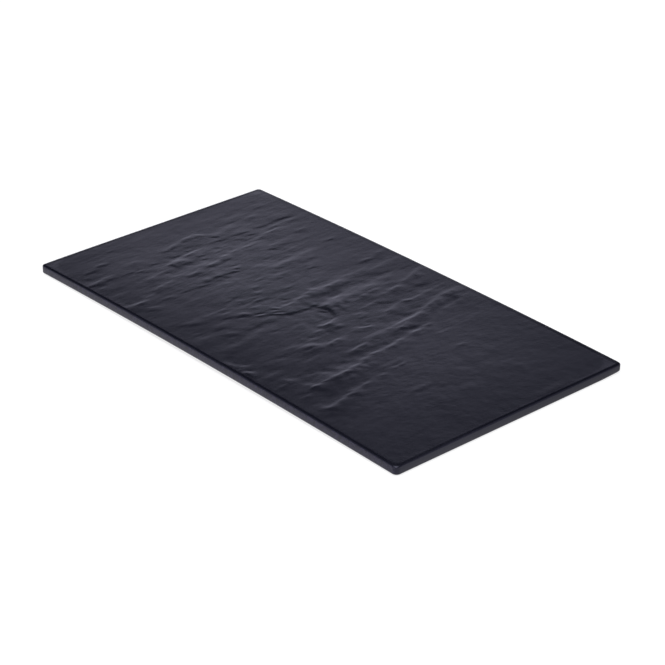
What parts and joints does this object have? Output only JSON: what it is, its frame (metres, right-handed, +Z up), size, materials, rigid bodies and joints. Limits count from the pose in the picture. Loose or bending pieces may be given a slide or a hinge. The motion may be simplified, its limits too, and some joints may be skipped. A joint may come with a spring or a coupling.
{
  "type": "melamine platter",
  "caption": "Flat rectangular black melamine serving platter with a slate-textured top, slightly arched along its length, standing on non-slip feet set into its underside.",
  "frame": {"origin": "on the table, under the middle of the platter", "axes": "+X along the length, +Y across the width away from the picture's near long edge, +Z up out of the serving face"},
  "size_m": [0.325, 0.176, 0.0083],
  "materials": {
    "black_melamine": "satin, with a low slate relief",
    "grey_silicone": "matte",
    "white_adhesive": "matte foam"
  },
  "bodies": {
    "root": {"platter_body": "black_melamine", "non_slip_foot_near_left": "grey_silicone", "non_slip_foot_near_right": "grey_silicone", "non_slip_foot_far_left": "grey_silicone", "non_slip_foot_far_right": "grey_silicone", "adhesive_disc_near_left": "white_adhesive", "adhesive_disc_near_right": "white_adhesive", "adhesive_disc_far_left": "white_adhesive", "adhesive_disc_far_right": "white_adhesive"}
  },
  "joints": []
}
